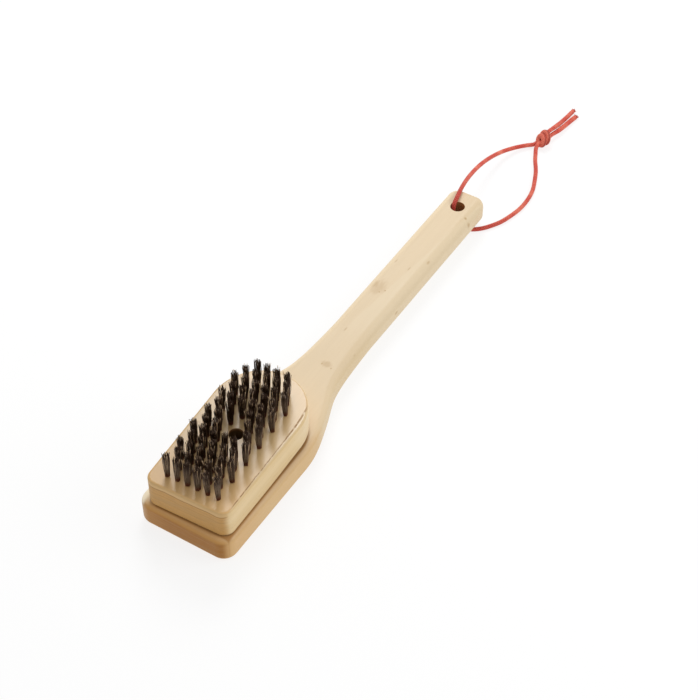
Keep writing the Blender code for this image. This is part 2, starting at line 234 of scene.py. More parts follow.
def bump(tree, height, strength, distance):
    inputs = {"Height": height, "Strength": strength, "Distance": distance}
    return addNode(tree, "ShaderNodeBump", inputs).outputs["Normal"]


# How the pieces lie

layPlan = {
    "front": (-152.5, 0.0, -0.0315),  # mm, the middle of the board's front edge
    "lift": 3.0, "liftAt": 286.0,  # mm, the cord lifts the grip this far behind that edge
    "screw": (52.5, 0.5, 15.8),  # mm from that edge, along the board
    "blockTurn": 2.3,  # degrees, the block sits a little askew
    "hole": (136.48, 0.0, 0.0),  # mm, the floor under the hang hole
}

tilt = math.asin(layPlan["lift"] / layPlan["liftAt"])
blockTurn = math.radians(layPlan["blockTurn"])
woodFrame = Matrix.Translation(Vector(layPlan["front"]) * mm) @ Matrix.Rotation(-tilt, 4, "Y")
blockFrame = woodFrame @ Matrix.Translation(Vector(layPlan["screw"]) * mm) @ Matrix.Rotation(blockTurn, 4, "Z")
cordFrame = Matrix.Translation(Vector(layPlan["hole"]) * mm)

# Mesh helpers


def addPiece(name, mesh, place, material, slot, *stoodFor):
    piece = bpy.data.objects.new(name, mesh)
    scene.collection.objects.link(piece)
    piece.matrix_world = place
    mesh.materials.clear()
    mesh.materials.append(material)
    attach(piece, "root")
    if stoodFor:
        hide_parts(*stoodFor)
    return piece


def smoothLine(points, steps):
    # centripetal curve through all the points
    points = [Vector(p) for p in points]
    ends = [2 * points[0] - points[1], *points, 2 * points[-1] - points[-2]]
    line = []
    for a, b, c, d in zip(ends, ends[1:], ends[2:], ends[3:]):
        tb = (b - a).length ** 0.5
        tc = tb + (c - b).length ** 0.5
        td = tc + (d - c).length ** 0.5
        for k in range(steps):
            t = tb + (tc - tb) * k / steps
            ab, bc, cd = a.lerp(b, t / tb), b.lerp(c, (t - tb) / (tc - tb)), c.lerp(d, (t - tc) / (td - tc))
            abc, bcd = ab.lerp(bc, t / tc), bc.lerp(cd, (t - tb) / (td - tb))
            line.append(abc.lerp(bcd, (t - tb) / (tc - tb)))
    return line + [points[-1]]


def evenLine(line, gap):
    # the same line with points about one gap apart
    length = sum((b - a).length for a, b in zip(line, line[1:]))
    count = max(2, round(length / gap))
    out, walked, goal = [line[0]], 0.0, length / count
    for a, b in zip(line, line[1:]):
        step = (b - a).length
        while len(out) < count and walked + step >= goal * len(out):
            out.append(a.lerp(b, (goal * len(out) - walked) / step))
        walked += step
    return out + [line[-1]]


def arc(centre, radii, start, end, steps):
    turns = [math.radians(start + (end - start) * k / steps) for k in range(steps + 1)]
    return [Vector((centre[0] + radii[0] * math.cos(a), centre[1] + radii[1] * math.sin(a))) for a in turns]


def meshFromLoops(name, loops):
    # skins rings of points, one after another, and closes both ends
    bm = bmesh.new()
    rings = [[bm.verts.new(point) for point in loop] for loop in loops]
    for below, above in zip(rings, rings[1:]):
        for k in range(len(below)):
            bm.faces.new((below[k - 1], below[k], above[k], above[k - 1]))
    bm.faces.new(list(reversed(rings[0])))
    bm.faces.new(rings[-1])
    bmesh.ops.remove_doubles(bm, verts=bm.verts, dist=0.00001)
    bmesh.ops.recalc_face_normals(bm, faces=bm.faces)
    mesh = bpy.data.meshes.new(name)
    bm.to_mesh(mesh)
    bm.free()
    return mesh


def tubeMesh(name, line, halfWidths, sides, flatUp=Vector((0, 0, 1))):
    # sweeps an oval along the line; halfWidths gives across and upright halves for each point
    rings, corners, wraps = [], [], []
    side = (line[1] - line[0]).cross(flatUp)
    if side.length < 1e-6:
        side = (line[1] - line[0]).cross(Vector((0, 1, 0)))
    for k, point in enumerate(line):
        ahead = (line[min(k + 1, len(line) - 1)] - line[max(k - 1, 0)]).normalized()
        side = (side - ahead * side.dot(ahead)).normalized()
        lift = side.cross(ahead)
        wide, high = halfWidths[k]
        for s in range(sides):
            angle = math.tau * s / sides
            rings.append(point + side * (wide * math.cos(angle)) + lift * (high * math.sin(angle)))
    walked = 0.0
    for k in range(len(line) - 1):
        step = (line[k + 1] - line[k]).length
        for s in range(sides):
            after = (s + 1) % sides
            corners.append((k * sides + s, k * sides + after, (k + 1) * sides + after, (k + 1) * sides + s))
            low, high = walked / mm, (walked + step) / mm
            wraps += [(s / sides, low), ((s + 1) / sides, low), ((s + 1) / sides, high), (s / sides, high)]
        walked += step
    last = (len(line) - 1) * sides
    corners += [tuple(range(sides - 1, -1, -1)), tuple(range(last, last + sides))]
    wraps += [(0.5, 0.0)] * sides + [(0.5, walked / mm)] * sides
    mesh = bpy.data.meshes.new(name)
    mesh.from_pydata(rings, [], corners)
    layer = mesh.uv_layers.new(name="alongCord")
    layer.data.foreach_set("uv", [x for pair in wraps for x in pair])
    mesh.polygons.foreach_set("use_smooth", [True] * len(corners))
    mesh.update()
    return mesh


# Hanging cord, its knot and frayed tails

cordPlan = {
    "diameter": 2.7, "sides": 16, "spacing": 0.6,
    # mm from the hang hole's middle on the floor
    "upper": [(-1.05, 2.41, 10.75), (-1.05, 2.41, 13.2), (-1.05, 2.41, 15.3), (0.5, 2.7, 19.1), (4.2, 3.2, 20.6),
              (8.8, 4.3, 20.6), (13.3, 5.4, 20.2), (22.0, 7.2, 19.0), (31.5, 8.8, 17.0), (41.4, 10.1, 14.5),
              (51.1, 10.9, 11.9), (60.5, 11.0, 9.3), (69.2, 10.3, 7.0), (77.0, 9.0, 4.9), (83.6, 6.7, 3.5),
              (89.3, 3.8, 2.5), (94.2, 0.3, 1.9), (97.6, -2.9, 1.7), (99.65, -3.6, 1.75)],
    "lower": [(-1.05, 2.41, 10.75), (-1.05, 2.41, 8.6), (-1.05, 2.41, 6.75), (-0.5, 0.93, 2.93), (0.84, -2.67, 1.35),
              (2.2, -6.3, 1.35), (4.1, -10.1, 1.35), (7.4, -13.8, 1.35), (12.1, -17.2, 1.35), (19.3, -21.0, 1.35),
              (28.2, -23.6, 1.35), (37.2, -25.2, 1.35), (47.7, -25.1, 1.35), (56.5, -23.6, 1.35),
              (65.0, -20.6, 1.35), (74.9, -16.3, 1.35), (84.4, -10.9, 1.35), (89.6, -8.4, 1.4), (93.4, -6.6, 2.2),
              (96.5, -5.95, 3.1), (99.15, -6.4, 3.2)],
    "upperTail": [(109.85, -7.0, 5.9), (112.5, -7.45, 5.8), (118.4, -8.3, 5.2), (123.8, -8.7, 4.4),
                  (132.5, -8.9, 3.2), (142.0, -8.9, 2.0)],
    "lowerTail": [(109.55, -8.7, 3.2), (112.2, -9.15, 3.15), (116.5, -10.3, 3.0), (123.0, -11.3, 2.6),
                  (132.0, -12.1, 1.9), (138.0, -12.8, 1.45)],
    # from its start on, over this length in mm, a tail grows broader and flatter by these shares
    "tailStart": 6.0, "tailBroader": 0.16, "tailFlatter": 0.05,
    "clear": 0.02,  # mm between the cord and the floor
}

frayPlan = {
    "threads": 40, "sides": 5, "half": 0.16, "length": 2.6, "shortest": 0.35,
    "across": 1.25, "upright": 0.85,  # mm, half of the bundle
    "rootedBy": 0.8,  # mm inside the cord
    "spread": 0.55, "stray": 0.3, "lowest": 0.25,
    "middle": (0.4, 0.3),  # how far along its middle point is, and how far bent
}

knotPlan = {
    "centre": (102.75, -6.85, 4.35),
    "turn": -10.0,  # degrees, the way the knot points along the floor
    # place along the knot, the angle where the wrap starts, its radius, and how far its top leans along the knot
    "wraps": [(-2.0, 235.0, 2.7, 2.0), (2.05, 265.0, 3.15, 2.2)],
    "leanAt": 45.0,  # degrees, where a wrap leans most
    "climb": 0.8,  # mm that a wrap climbs along the knot
    "thick": 1.27, "broad": 1.4,  # a wrap is this much thicker and broader than the cord
    "flatness": 0.8,  # a wrap is this high for its width
    "wrapTurns": 1.1, "steps": 56,
    "tuck": 0.12, "tuckedTo": 0.55,  # the share of a wrap that is tucked in at each end, and how far
}

cordFinish = {
    "red": (0.7, 0.112, 0.075), "deepRed": (0.48, 0.04, 0.03),
    "paleRed": (0.86, 0.27, 0.17), "gapRed": (0.24, 0.02, 0.014),
    "roughness": 0.62, "specular": 0.25,
    "sheen": {"Sheen Weight": 0.25, "Sheen Roughness": 0.4, "Sheen Tint": (1.0, 0.55, 0.45, 1.0)},
    "around": 5.0,  # braid threads round the cord, each way
    "perMillimetre": 0.62,
    "threadCrest": 1.8, "threadNoise": 2.6, "patchNoise": 0.16, "leastPale": 0.7, "mostPale": 0.6,
    # where every range starts and ends, then the strength there
    "threadLit": (0.3, 0.75, 0.55, 1.0), "redOver": (0.12, 0.8), "paleOver": (0.35, 0.75), "flankOver": (0.82, 1.0),
    "roughOver": (0.0, 1.0, 0.8, 0.5), "bump": (0.6, 0.0002),
    # painted shade: deeper red beside the grip, where the board shades the cord
    "shadeNearGrip": [((0.48, 0.04, 0.03), ("x", 4.0, 32.0, 1.0, 0.0), ("lit", 0.2, 0.9, 0.95, 0.35)),
                 ((0.24, 0.02, 0.014), ("x", 4.0, 32.0, 1.0, 0.0), ("lit", 0.0, 0.45, 0.6, 0.0))],
}


def makeCordMaterial(name, paintedLightShare, shadedFlanks):
    look = cordFinish
    material, tree, shader = newMaterial(name, look["red"], look["roughness"], specular=look["specular"])
    setInputs(shader, look["sheen"])
    spot = inMillimetres(tree)
    u, v, _ = splitUp(tree, addNode(tree, "ShaderNodeUVMap", uv_map="alongCord").outputs[0])
    around, along = times(tree, u, look["around"]), times(tree, v, look["perMillimetre"])
    waves = []
    for direction in ("ADD", "SUBTRACT"):
        turn = times(tree, calc(tree, direction, along, around), math.tau)
        waves.append(calc(tree, "MULTIPLY_ADD", calc(tree, "SINE", turn), 0.5, 0.5))
    weave = calc(tree, "POWER", calc(tree, "MAXIMUM", *waves), look["threadCrest"])
    lit = times(tree, weave, ramp(tree, cloud(tree, spot, (look["threadNoise"],) * 3), *look["threadLit"]))
    # a copy can be painted lighter by lifting its darkest threads and its pale patches
    color = blendColor(tree, ramp(tree, lit, *look["redOver"], paintedLightShare), look["deepRed"], look["red"])
    patches = ramp(tree, cloud(tree, spot, (look["patchNoise"],) * 3), *look["paleOver"],
                   look["leastPale"] * paintedLightShare, look["mostPale"])
    color = tint(tree, color, look["paleRed"], patches)
    # painted shade on the cord beside the grip
    color = paint(tree, color, look["shadeNearGrip"], {"x": splitUp(tree, spot)[0], "lit": lit})
    # wraps of the knot shade one another
    flank = calc(tree, "ABSOLUTE", calc(tree, "SINE", times(tree, u, math.tau)))
    color = tint(tree, color, look["gapRed"], ramp(tree, flank, *look["flankOver"], 0.0, shadedFlanks))
    setInputs(shader, {"Base Color": color, "Roughness": ramp(tree, lit, *look["roughOver"]),
                       "Normal": bump(tree, lit, *look["bump"])})
    return material


def makeStrand(name, strand, tail, stoodFor, material):
    half = cordPlan["diameter"] / 2 * mm
    route = smoothLine([Vector(p) * mm for p in cordPlan[strand] + cordPlan[tail]], 10)
    line = evenLine(route, cordPlan["spacing"] * mm)
    tailStart = cordPlan[tail][1][0] * mm
    widths = []
    for point in line:
        flat = min(1.0, max(0.0, (point.x - tailStart) / (cordPlan["tailStart"] * mm)))
        high = half * (1.0 - cordPlan["tailFlatter"] * flat)
        widths.append((half * (1.0 + cordPlan["tailBroader"] * flat), high))
        point.z = max(point.z, high + cordPlan["clear"] * mm)
    mesh = tubeMesh(name, line, widths, cordPlan["sides"])
    return addPiece(name, mesh, cordFrame, material, "cord_red", *stoodFor), line


def makeFray(name, line, seed, material):
    # loose threads where a tail was cut
    plan, chance = frayPlan, random.Random(seed)
    tip, ahead = line[-1], (line[-1] - line[-4]).normalized()
    side = ahead.cross(Vector((0, 0, 1))).normalized()
    lift = side.cross(ahead)
    bm = bmesh.new()
    for k in range(plan["threads"]):
        reach, angle = math.sqrt((k + 0.5) / plan["threads"]), k * goldenAngle
        out = side * (plan["across"] * reach * math.cos(angle)) + lift * (plan["upright"] * reach * math.sin(angle))
        length = plan["length"] * chance.uniform(plan["shortest"], 1.0)
        bend = out * chance.uniform(0.0, plan["spread"]) + side * chance.uniform(-plan["stray"], plan["stray"])
        stops = [(ahead * along * length + bend * bent) for along, bent in (plan["middle"], (1.0, 1.0))]
        thread = [tip + (out + stop) * mm for stop in (ahead * -plan["rootedBy"], *stops)]
        thread[2].z = max(thread[2].z, plan["lowest"] * mm)
        curve = smoothLine(thread, 3)
        small = tubeMesh("thread", curve, [(plan["half"] * mm,) * 2] * len(curve), plan["sides"])
        bm.from_mesh(small)
        bpy.data.meshes.remove(small)
    mesh = bpy.data.meshes.new(name)
    bm.to_mesh(mesh)
    bm.free()
    return addPiece(name, mesh, cordFrame, material, "cord_red")


def wrapLine(place, along, start, widest, slant):
    plan, line = knotPlan, []
    for k in range(plan["steps"] + 1):
        t = k / plan["steps"]
        angle = math.radians(start) + math.tau * plan["wrapTurns"] * t
        tucked = min(1.0, t / plan["tuck"], (1.0 - t) / plan["tuck"])
        radius = widest * (plan["tuckedTo"] + (1.0 - plan["tuckedTo"]) * math.sin(tucked * math.pi / 2))
        lean = slant * math.cos(angle - math.radians(plan["leanAt"])) + plan["climb"] * (t - 0.5)
        height = plan["flatness"] * radius * math.sin(angle)
        line.append(place @ (Vector((along + lean, radius * math.cos(angle), height)) * mm))
    return line


def makeKnot(material):
    turn = Matrix.Rotation(math.radians(knotPlan["turn"]), 4, "Z")
    place = Matrix.Translation(Vector(knotPlan["centre"]) * mm) @ turn
    half = cordPlan["diameter"] / 2 * mm
    halves = (half * knotPlan["thick"], half * knotPlan["broad"])
    pieces = []
    for number, wrap in enumerate(knotPlan["wraps"], 1):
        name, line = f"knotWrap{number}", wrapLine(place, *wrap)
        mesh = tubeMesh(name, line, [halves] * len(line), cordPlan["sides"], Vector((1, 0, 0)))
        pieces.append(addPiece(name, mesh, cordFrame, material, "cord_red", "cord_knot"))
    return pieces


cordRed = makeCordMaterial("braidedRed", 0.0, 0.0)
upperCord, upperLine = makeStrand("upperCord", "upper", "upperTail", ["hang_cord_upper", "cord_tail_1"], cordRed)
lowerCord, lowerLine = makeStrand("lowerCord", "lower", "lowerTail", ["hang_cord_lower", "cord_tail_2"], cordRed)
# the knot's own copy is painted lighter all over, with painted shade between its wraps
knotPieces = makeKnot(makeCordMaterial("knottedRed", 0.45, 0.75))
upperFray = makeFray("upperTailFray", upperLine, 3, cordRed)
lowerFray = makeFray("lowerTailFray", lowerLine, 8, cordRed)
print("cord, knot and frayed tails are laid")

# Bamboo

grainPlan = {
    # how the noise is drawn out along X, Y and Z, then its detail and roughness
    "drift": ((0.01, 0.02, 0.02), 2.0), "driftWidth": 1.6,
    "fine": ((0.045, 3.4, 3.4), 4.0, 0.6), "broad": ((0.01, 0.34, 0.34), 3.0, 0.5),
    "dashes": ((0.22, 5.5, 5.5), 1.0, 0.4), "layers": ((0.05, 0.035, 1.15), 3.0, 0.6),
    "faceOver": (0.15, 0.95), "endOver": (-0.35, -0.9),
    "fineOver": (0.42, 0.78), "dashOver": (0.66, 0.76), "layerOver": (0.42, 0.66),
    "roughOver": (0.3, 0.75, 0.4, 0.56),
    "dashDark": 1.1, "dashDeep": 0.6, "ragged": (0.25, 0.9, 0.9), "markOver": (0.25, 1.0, 1.0, 0.0),
    "roughness": 0.45, "specular": 0.18, "coatRoughness": 0.23, "bump": (0.12, 0.00012),
}


def makeBambooGrain():
    # grain along X; colours differ on faces, sides and ends, and the ends show layers
    plan = grainPlan
    group, takes, gives = newGroup(
        "bambooGrain",
        {"Place": "Vector", "Face Color": "Color", "Side Color": "Color", "End Color": "Color",
         "Fibre Color": "Color", "Fibre Strength": "Float", "Cloud Strength": "Float", "Layer Strength": "Float"},
        {"Color": "Color", "Height": "Float", "Roughness": "Float"})
    place, strength = takes["Place"], takes["Fibre Strength"]
    (x, y, z), normal = splitUp(group, place), facing(group)
    onFace = ramp(group, calc(group, "ABSOLUTE", normal[2]), *plan["faceOver"])
    onEnd = ramp(group, normal[0], *plan["endOver"])
    # fibres run the length of a stalk, so the noise is drawn out along X
    drift = times(group, cloud(group, place, *plan["drift"]), plan["driftWidth"])
    bent = addNode(group, "ShaderNodeCombineXYZ", {0: x, 1: calc(group, "ADD", y, drift), 2: z})
    fine, broad, dashes = (cloud(group, bent.outputs[0], *plan[key]) for key in ("fine", "broad", "dashes"))
    dashes = ramp(group, dashes, *plan["dashOver"])
    layers = ramp(group, cloud(group, place, *plan["layers"]), *plan["layerOver"])
    color = blendColor(group, onFace, takes["Side Color"], takes["Face Color"])
    color = tint(group, color, takes["End Color"], onEnd)
    dark = calc(group, "MULTIPLY_ADD", dashes, plan["dashDark"], ramp(group, fine, *plan["fineOver"]))
    dark = times(group, dark, strength)
    layered = times(group, layers, onEnd, takes["Layer Strength"])
    color = tint(group, color, takes["Fibre Color"], calc(group, "MAXIMUM", dark, layered))
    tone = calc(group, "MULTIPLY_ADD", minus(group, broad, 0.5), takes["Cloud Strength"], 1.0)
    gain = addNode(group, "ShaderNodeHueSaturation", {"Value": tone, "Color": color})
    setInputs(gives, {"Color": gain.outputs[0], "Roughness": ramp(group, fine, *plan["roughOver"]),
                      "Height": minus(group, fine, times(group, dashes, plan["dashDeep"]))})
    return group


def makeStalkMark():
    # a soft oval mark, such as a joint of the stalk; the centre and reach are in mm
    group, takes, gives = newGroup(
        "stalkMark",
        {"Place": "Vector", "Centre": "Vector", "Reach": "Vector", "Ragged": "Float", "Strength": "Float"},
        {"Mask": "Float"})
    away = vectorCalc(group, "SUBTRACT", takes["Place"], takes["Centre"])[0]
    size = vectorCalc(group, "LENGTH", vectorCalc(group, "DIVIDE", away, takes["Reach"])[0])["Value"]
    rough = minus(group, cloud(group, takes["Place"], grainPlan["ragged"]), 0.5)
    edge = calc(group, "MULTIPLY_ADD", rough, takes["Ragged"], size)
    setInputs(gives, {"Mask": times(group, ramp(group, edge, *grainPlan["markOver"]), takes["Strength"])})
    return group


bambooGrain = makeBambooGrain()
stalkMark = makeStalkMark()


def bambooShader(name, finish):
    material, tree, shader = newMaterial(name, finish["face"], grainPlan["roughness"], specular=grainPlan["specular"])
    place = inMillimetres(tree)
    values = {"Place": place}
    for title in ("face", "side", "end", "fibre"):
        values[title.title() + " Color"] = (*finish[title], 1.0)
    for title in ("fibre", "cloud", "layer"):
        values[title.title() + " Strength"] = finish[title + "Strength"]
    made = placeGroup(tree, bambooGrain, values)
    setInputs(shader, {"Roughness": made["Roughness"], "Normal": bump(tree, made["Height"], *grainPlan["bump"]),
                       "Coat Weight": finish["coat"], "Coat Roughness": grainPlan["coatRoughness"]})
    return material, tree, shader, place, made["Color"]


# Board

boardPlan = {
    "length": 305.0, "thickness": 15.5,
    "headRound": 3.0, "gripRound": 5.5, "endRound": 4.0,
    "headWidth": 58.0, "headCorner": 8.0,
    "shoulderStart": 75.0, "shoulderLength": 92.0, "shoulderLead": 10.0,
    "shoulder": [(0.07, 0.03), (0.16, 0.13), (0.34, 0.44), (0.52, 0.79), (0.64, 0.9), (0.8, 0.96)],
    "gripWidth": 24.5, "gripCorner": 7.0,
    "holeWidth": 8.7, "holeFromEnd": 16.0, "holeRim": 0.35,
}

# the block stands on the board, which is painted with shade round its foot
blockPlan = {
    "screwFromFront": 49.3, "length": 99.1, "straight": 70.0,
    "frontWidth": 51.0, "backWidth": 53.7, "corner": 6.3,
    # the foot is cut away most beside the back, on the right
    "grooveRound": 1.2, "grooveWide": 1.2, "grooveAt": 28.0, "grooveReach": 40.0, "grooveSide": -10.0,
    # name, node it stands for, low, high, low round, high round, in mm over the board
    "plies": [("bottomPly", "block_bottom_ply", -0.2, 4.62, None, 0.12),
              ("corePly", "block_core_ply", 4.66, 13.32, 0.12, 0.12),
              ("topPly", "block_screw_collar", 13.36, 18.0, 0.12, 1.4)],
    "wellWidth": 8.0, "wellFloor": 9.0, "wellRim": 0.3,
}

boardFinish = {
    "face": (0.69, 0.533, 0.34), "side": (0.66, 0.488, 0.258), "end": (0.335, 0.134, 0.015),
    "fibre": (0.42, 0.26, 0.11), "coat": 0.08,
    "fibreStrength": 0.13, "cloudStrength": 0.09, "layerStrength": 0.3,
    # stalk joints, pits and dashes: centre, reach, ragged edge, strength
    "marks": [((134.5, -3.2, 15.5), (3.4, 4.4, 8.0), 0.8, 0.36), ((133.5, -0.8, 15.5), (0.9, 0.7, 3.0), 0.3, 0.5),
              ((133.0, -7.1, 15.5), (0.9, 0.7, 3.0), 0.3, 0.5), ((202.7, 4.0, 15.5), (9.0, 5.8, 8.0), 1.1, 0.3),
              ((204.0, 8.2, 15.0), (5.0, 3.4, 8.0), 0.9, 0.34), ((163.5, 2.4, 15.5), (2.6, 0.7, 3.0), 0.3, 0.4),
              ((227.4, 7.0, 15.5), (2.4, 0.7, 3.0), 0.3, 0.4), ((225.6, -3.0, 15.5), (2.4, 0.7, 3.0), 0.3, 0.4),
              ((236.8, -9.5, 14.0), (2.4, 1.0, 3.0), 0.3, 0.4), ((195.5, -12.2, 9.0), (2.5, 3.0, 1.6), 0.4, 0.45),
              ((281.7, -11.0, 11.0), (2.2, 3.0, 2.6), 0.6, 0.6), ((282.5, -9.2, 14.5), (1.3, 1.2, 2.6), 0.4, 0.6),
              ((199.5, 1.8, 15.5), (0.8, 0.7, 3.0), 0.3, 0.6), ((202.2, -0.6, 15.5), (0.8, 0.7, 3.0), 0.3, 0.6),
              ((150.5, -12.0, 15.0), (2.0, 0.8, 3.0), 0.3, 0.35)],
    "markColor": (0.4, 0.235, 0.075),
    # a paler strip of the stalk begins at this line
    "bandEdge": [(190.0, 0.6), (277.8, -8.2)], "bandSway": ((0.02, 0.06, 0.0), 3.0),
    "blockHalf": 26.5,  # mm, about half the block's width
    # coats: a colour, then where its mask starts and ends on each input, and the strength there
    "under": [((0.74, 0.61, 0.42), ("band", -0.2, 1.0), ("x", 150.0, 185.0, 0.0, 0.55)),
              ((0.74, 0.61, 0.42), ("x", 80.0, 105.0, 0.0, 0.4))],
    # golden in front as painted shade of the block on the ledge, and golden on the right and at the foot
    "golden": [[("x", 2.2, 6.0, 0.75, 0.0), ("z", 12.5, 14.5), ("y", 26.0, 20.0)],
               [("y", -28.4, -24.0, 1.0, 0.0), ("x", -0.5, 2.5), ("x", 8.0, 40.0, 0.55, 0.34)],
               [("z", 0.8, 3.5, 0.8, 0.0), ("x", 90.0, 120.0, 1.0, 0.0)]],
    "gold": (0.6, 0.32, 0.1),
    "over": [((0.6, 0.32, 0.1), ("y", 4.0, 29.0, 0.0, 0.3), ("x", 1.0, 4.0, 1.0, 0.0)),
             # painted light: the left edge is painted pale, though it faces away from the lamps
             ((0.9, 0.73, 0.5), ("leftward", -0.05, 0.45, 0.0, 0.8), ("x", 1.5, 9.0, 0.15, 1.0)),
             # a painted highlight on the left ledge beside the block
             ((0.95, 0.84, 0.64), ("y", 23.5, 26.0, 0.0, 0.9), ("x", 8.0, 20.0, 1.0, 0.0), ("z", 12.5, 14.5)),
             # painted shade gathers round the foot of the block
             ((0.4, 0.185, 0.045), ("gap", 0.0, 1.2, 0.85, 0.0), ("along", 26.0, 38.0, 1.0, 0.0),
              ("across", 18.0, 24.0, 1.0, 0.0)),
             # the wall of the hang hole
             ((0.4, 0.18, 0.06), ("hole", 0.05, 0.3, 1.0, 0.0))],
}


def bothSides(half):
    return half + [Vector((p.x, -p.y)) for p in reversed(half) if p.y > 0.01]


def boardOutline():
    head, grip = boardPlan["headWidth"] / 2, boardPlan["gripWidth"] / 2
    corner = boardPlan["headCorner"]
    half = arc((corner, head - corner), (corner, corner), 180, 90, 12)
    start, length, lead = boardPlan["shoulderStart"], boardPlan["shoulderLength"], boardPlan["shoulderLead"]
    stations = [(start - lead, head, 0), (start, head, 0)]
    stations += [(start + length * along, head - (head - grip) * lost, 0) for along, lost in boardPlan["shoulder"]]
    stations += [(start + length, grip, 0), (start + length + lead, grip, 0)]
    half += [Vector((p.x, p.y)) for p in smoothLine(stations, 8)]
    corner = boardPlan["gripCorner"]
    half += arc((boardPlan["length"] - corner, grip - corner), (corner, corner), 90, 0, 12)
    return bothSides(half)


def plateMesh(name, outline, low, high, lowRounds, highRounds, steps):
    # a flat body; each point of the outline has its own rounding at the foot and at the top
    quarter = [math.pi / 2 * k / steps for k in range(steps + 1)]
    loops = []
    for base, rounds, sign, angles in ((low, lowRounds, 1, quarter), (high, highRounds, -1, quarter[::-1])):
        for angle in angles:
            loop = []
            for k, (point, radius) in enumerate(zip(outline, rounds)):
                ahead = (outline[(k + 1) % len(outline)] - outline[k - 1]).normalized()
                inset, rise = radius * (1 - math.sin(angle)), radius * (1 - math.cos(angle))
                loop.append(Vector((point.x + ahead.y * inset, point.y - ahead.x * inset, base + sign * rise)) * mm)
            loops.append(loop)
    return meshFromLoops(name, loops)


def drill(mesh, centre, radius, low, high, rim, sides=48):
    # cuts a round hole, then rounds its mouth a little
    rings = [(low, radius), (high + 1, radius)]
    if rim:
        rings = [(low, radius), (high - rim, radius), (high - 0.4 * rim, radius + 0.2 * rim), (high, radius + rim),
                 (high + 1, radius + rim)]
    turns = [math.tau * k / sides for k in range(sides)]
    loops = [[Vector((centre[0] + r * math.cos(turn), centre[1] + r * math.sin(turn), z)) * mm for turn in turns]
             for z, r in rings]
    work, tool = bpy.data.objects.new("work", mesh), bpy.data.objects.new("tool", meshFromLoops("drillBit", loops))
    for thing in (work, tool):
        scene.collection.objects.link(thing)
    cut = work.modifiers.new("cut", "BOOLEAN")
    cut.object, cut.operation, cut.solver = tool, "DIFFERENCE", "EXACT"
    result = bpy.data.meshes.new_from_object(work.evaluated_get(bpy.context.evaluated_depsgraph_get()))
    for thing in (work, tool):
        bpy.data.objects.remove(thing)
    return result


def softShade(piece, angle=35.0, weight=80):
    piece.data.polygons.foreach_set("use_smooth", [True] * len(piece.data.polygons))
    piece.data.set_sharp_from_angle(angle=math.radians(angle))
    even = piece.modifiers.new("evenNormals", "WEIGHTED_NORMAL")
    even.keep_sharp = True
    even.weight = weight


def ease(share):
    share = min(1.0, max(0.0, share))
    return share * share * (3 - 2 * share)


def besideBlock(tree, x, y):
    # how far a place lies behind the screw, to the left of it, and outside the block's foot
    start, halfBack = blockPlan["straight"] - blockPlan["screwFromFront"], blockPlan["backWidth"] / 2
    slope = (halfBack - blockPlan["frontWidth"] / 2) / blockPlan["straight"]
    fromX, fromY = minus(tree, x, layPlan["screw"][0]), minus(tree, y, layPlan["screw"][1])
    cos, sin = math.cos(blockTurn), math.sin(blockTurn)
    along = calc(tree, "MULTIPLY_ADD", fromX, cos, times(tree, fromY, sin))
    across = calc(tree, "MULTIPLY_ADD", fromX, -sin, times(tree, fromY, cos))
    half = calc(tree, "MINIMUM", calc(tree, "MULTIPLY_ADD", along, slope, halfBack - slope * start), halfBack)
    past = calc(tree, "DIVIDE", minus(tree, along, start), blockPlan["length"] - blockPlan["straight"])
    reach = hypotenuse(tree, calc(tree, "DIVIDE", across, half), calc(tree, "MAXIMUM", past, 0.0))
    outside = times(tree, minus(tree, reach, 1.0), boardFinish["blockHalf"])
    return along, across, calc(tree, "MAXIMUM", outside, minus(tree, -blockPlan["screwFromFront"], along))


def makeBoardMaterial(holeX):
    look = boardFinish
    material, tree, shader, place, color = bambooShader("boardBamboo", look)
    x, y, z = splitUp(tree, place)
    (x0, y0), (x1, y1) = look["bandEdge"]
    slope = (y1 - y0) / (x1 - x0)
    edge = calc(tree, "MULTIPLY_ADD", x, slope, y0 - slope * x0)
    edge = calc(tree, "ADD", edge, sway(tree, place, *look["bandSway"]))
    inputs = {"x": x, "y": y, "z": z, "leftward": facing(tree)[1], "band": minus(tree, edge, y)}
    inputs["along"], inputs["across"], inputs["gap"] = besideBlock(tree, x, y)
    inputs["hole"] = minus(tree, hypotenuse(tree, minus(tree, x, holeX), y), boardPlan["holeWidth"] / 2)
    golden = 0.0
    for spans in look["golden"]:
        golden = calc(tree, "MAXIMUM", mask(tree, inputs, spans), golden)
    color = paint(tree, color, look["under"], inputs)
    for mark in look["marks"]:
        values = dict(zip(("Centre", "Reach", "Ragged", "Strength"), mark), Place=place)
        color = tint(tree, color, look["markColor"], placeGroup(tree, stalkMark, values)["Mask"])
    color = paint(tree, tint(tree, color, look["gold"], golden), look["over"], inputs)
    setInputs(shader, {"Base Color": color})
    return material


def makeBoard():
    plan, outline = boardPlan, boardOutline()
    rounds = []
    for point in outline:
        share = ease((point.x - plan["shoulderStart"]) / plan["shoulderLength"])
        last = max(0.0, 1.0 - (plan["length"] - point.x) / plan["gripCorner"])
        wider = (plan["gripRound"] - plan["headRound"]) * share
        rounds.append(plan["headRound"] + wider + (plan["endRound"] - plan["gripRound"]) * last)
    mesh = plateMesh("board", outline, 0.0, plan["thickness"], rounds, rounds, 8)
    holeX = plan["length"] - plan["holeFromEnd"]
    mesh = drill(mesh, (holeX, 0.0), plan["holeWidth"] / 2, -2.0, plan["thickness"], plan["holeRim"])
    softShade(addPiece("gripBoard", mesh, woodFrame, makeBoardMaterial(holeX), "board_bamboo", "board"))


makeBoard()
print("board is cut and stained")

# Block of three plies

